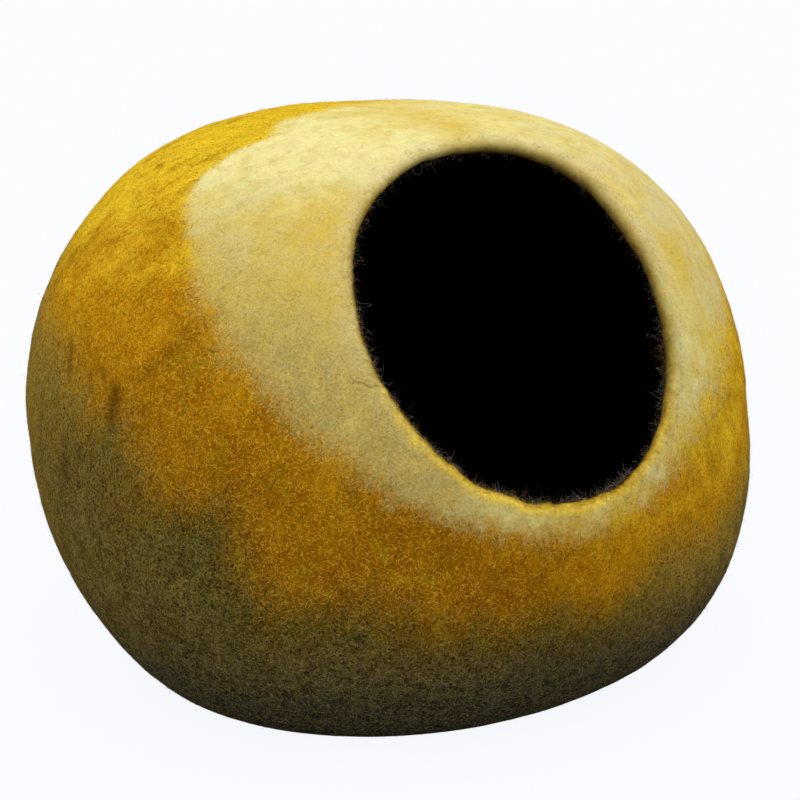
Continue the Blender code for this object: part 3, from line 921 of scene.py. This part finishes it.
def rim_fibres(name, count, share, reach, length, curl, lift, thick, rings, seed, free):
    """Curly fibres of the inner wool that stand in the entrance. reach gives
    how far past the start of the black wool they are rooted, in mm."""
    rng = np.random.default_rng(seed)
    turn = clumped(share, count, rng, 0.8)
    look = lip_looks(turn)
    mm = np.clip(look["dark_full"], 2.0, 6.5) + rng.uniform(*reach, len(turn))
    p, nrm = on_lip(mm, turn, rng)
    piece = fibres(
        name, p, nrm, rng.uniform(0, 2 * np.pi, len(p)),
        length=length(rng, len(p)), curl=curl, lift=lift(rng, len(p)), thick=thick(rng, len(p)),
        rings=rings, seed=seed + 1, lip_mm=mm, turn=turn, free=free, stay=False, flat=1.2,
    )
    piece.data.materials.append(fuzz_material)
    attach(piece, "root")


# short fibres of the outer wool that blur the lip's own edge
rng = np.random.default_rng(71)
lip_turn = clumped([0.15, 0.12, 0.12, 0.12, 0.2, 0.5, 0.8, 1.0, 1.0, 1.0, 0.9, 0.3], 4200, rng, 0.3)
lip_at = np.minimum(lip_looks(lip_turn)["dark_from"] + 4.0, 1.0) - np.abs(rng.normal(0, 3.5, len(lip_turn)))
p, nrm = on_lip(lip_at, lip_turn, rng)
lip_fuzz = fibres(
    "lip_fibres", p, nrm, rng.uniform(0, 2 * np.pi, len(p)),
    length=rng.uniform(0.0018, 0.0050, len(p)), curl=3.2,
    lift=rng.gamma(2.0, 0.00035, len(p)), thick=rng.uniform(0.00005, 0.00011, len(p)),
    rings=2, seed=72, lip_mm=lip_at, turn=lip_turn, free=0.6, stay=False, flat=0.8,
)
lip_fuzz.data.materials.append(hair_material)
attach(lip_fuzz, "root")


fuzz_material = inner_fuzz_material()
rim_fibres(
    "inner_rim_fuzz", 3300,
    share=[0.12, 0.08, 0.08, 0.10, 0.16, 0.25, 0.30, 0.45, 0.70, 1.0, 1.0, 0.45],
    reach=(-2.5, 2.0),
    length=lambda r, m: 0.003 + r.gamma(2.5, 0.0014, m), curl=6.5,
    lift=lambda r, m: r.gamma(1.6, 0.0013, m), thick=lambda r, m: r.uniform(0.00003, 0.00005, m),
    rings=4, seed=43, free=0.7,
)
rim_fibres(
    "inner_rim_curls", 260,
    share=[0.05, 0.05, 0.06, 0.08, 0.55, 0.40, 0.60, 0.6, 0.7, 0.8, 0.7, 0.2],
    reach=(-1.0, 3.0),
    length=lambda r, m: r.uniform(0.007, 0.016, m), curl=9.0,
    lift=lambda r, m: r.uniform(0.001, 0.007, m), thick=lambda r, m: r.uniform(0.000025, 0.000045, m),
    rings=10, seed=53, free=0.5,
)

# --------------------------------------------------------------- the studio
floor_mesh = bpy.data.meshes.new("floor")
steps = 96
ring = [(14 * math.cos(2 * math.pi * i / steps), 14 * math.sin(2 * math.pi * i / steps), -0.0002) for i in range(steps)]
floor_mesh.from_pydata(ring, [], [list(range(steps))])
floor = bpy.data.objects.new("floor", floor_mesh)
bpy.context.scene.collection.objects.link(floor)
floor_mat = bpy.data.materials.new("pale floor")
floor_mat.use_nodes = True
floor_shader = floor_mat.node_tree.nodes["Principled BSDF"]
floor_shader.inputs["Base Color"].default_value = (0.04, 0.04, 0.04, 1)
floor_shader.inputs["Emission Color"].default_value = (0.908, 0.925, 0.952, 1)
floor_shader.inputs["Emission Strength"].default_value = 1.0
floor_shader.inputs["Roughness"].default_value = 0.9
floor_shader.inputs["Specular IOR Level"].default_value = 0.0
floor_mesh.materials.append(floor_mat)
floor.visible_diffuse = False
floor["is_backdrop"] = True

# a dome of light, brightest overhead and at both sides, dark below the floor
world = bpy.data.worlds.new("studio")
bpy.context.scene.world = world
world.use_nodes = True
w = Nodes(world.node_tree)
background = world.node_tree.nodes.get("Background") or w.new("ShaderNodeBackground")
look = w.new("ShaderNodeTexCoord").outputs["Generated"]
height = w.new("ShaderNodeSeparateXYZ")
w.link(look, height.inputs[0])
rise = height.outputs[2]
sideways = w.new("ShaderNodeVectorMath", operation="DOT_PRODUCT")
w.feed(sideways.inputs[0], look)
sideways.inputs[1].default_value = (0.87, -0.49, 0.0)
side = w.step(w.math("ABSOLUTE", sideways.outputs["Value"]), 0.62, 1.0)
above = w.mix(w.step(rise, 0.10, 1.0), (0.78, 0.793, 0.81, 1), (1.60, 1.60, 1.60, 1))
above = w.mix(side, above, (1.35, 1.36, 1.38, 1))
w.link(w.mix(w.step(rise, -0.25, -0.03), (0.10, 0.10, 0.10, 1), above), background.inputs["Color"])
background.inputs["Strength"].default_value = 1.0

CAMERA_AZIMUTH, CAMERA_ELEVATION, CAMERA_DISTANCE, CAMERA_LENS = -29.488, 20.0, 1.3968, 91.07
a, e = math.radians(CAMERA_AZIMUTH), math.radians(CAMERA_ELEVATION)
back = Vector((math.sin(a) * math.cos(e), -math.cos(a) * math.cos(e), math.sin(e)))
right = Vector((math.cos(a), math.sin(a), 0))
target = right * 0.0005 + Vector((-PLAN_CENTRE[0], -PLAN_CENTRE[1], 0.16345))
camera = bpy.data.objects.new("camera", bpy.data.cameras.new("camera"))
camera.data.sensor_width, camera.data.lens = 36, CAMERA_LENS
camera.data.clip_start, camera.data.clip_end = 0.01, 100
camera.location = target + back * CAMERA_DISTANCE
camera.rotation_mode = "QUATERNION"
camera.rotation_quaternion = (-back).to_track_quat("-Z", "Y")
bpy.context.scene.collection.objects.link(camera)
bpy.context.scene.camera = camera
bpy.context.scene.view_settings.view_transform = "Standard"

low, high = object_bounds()
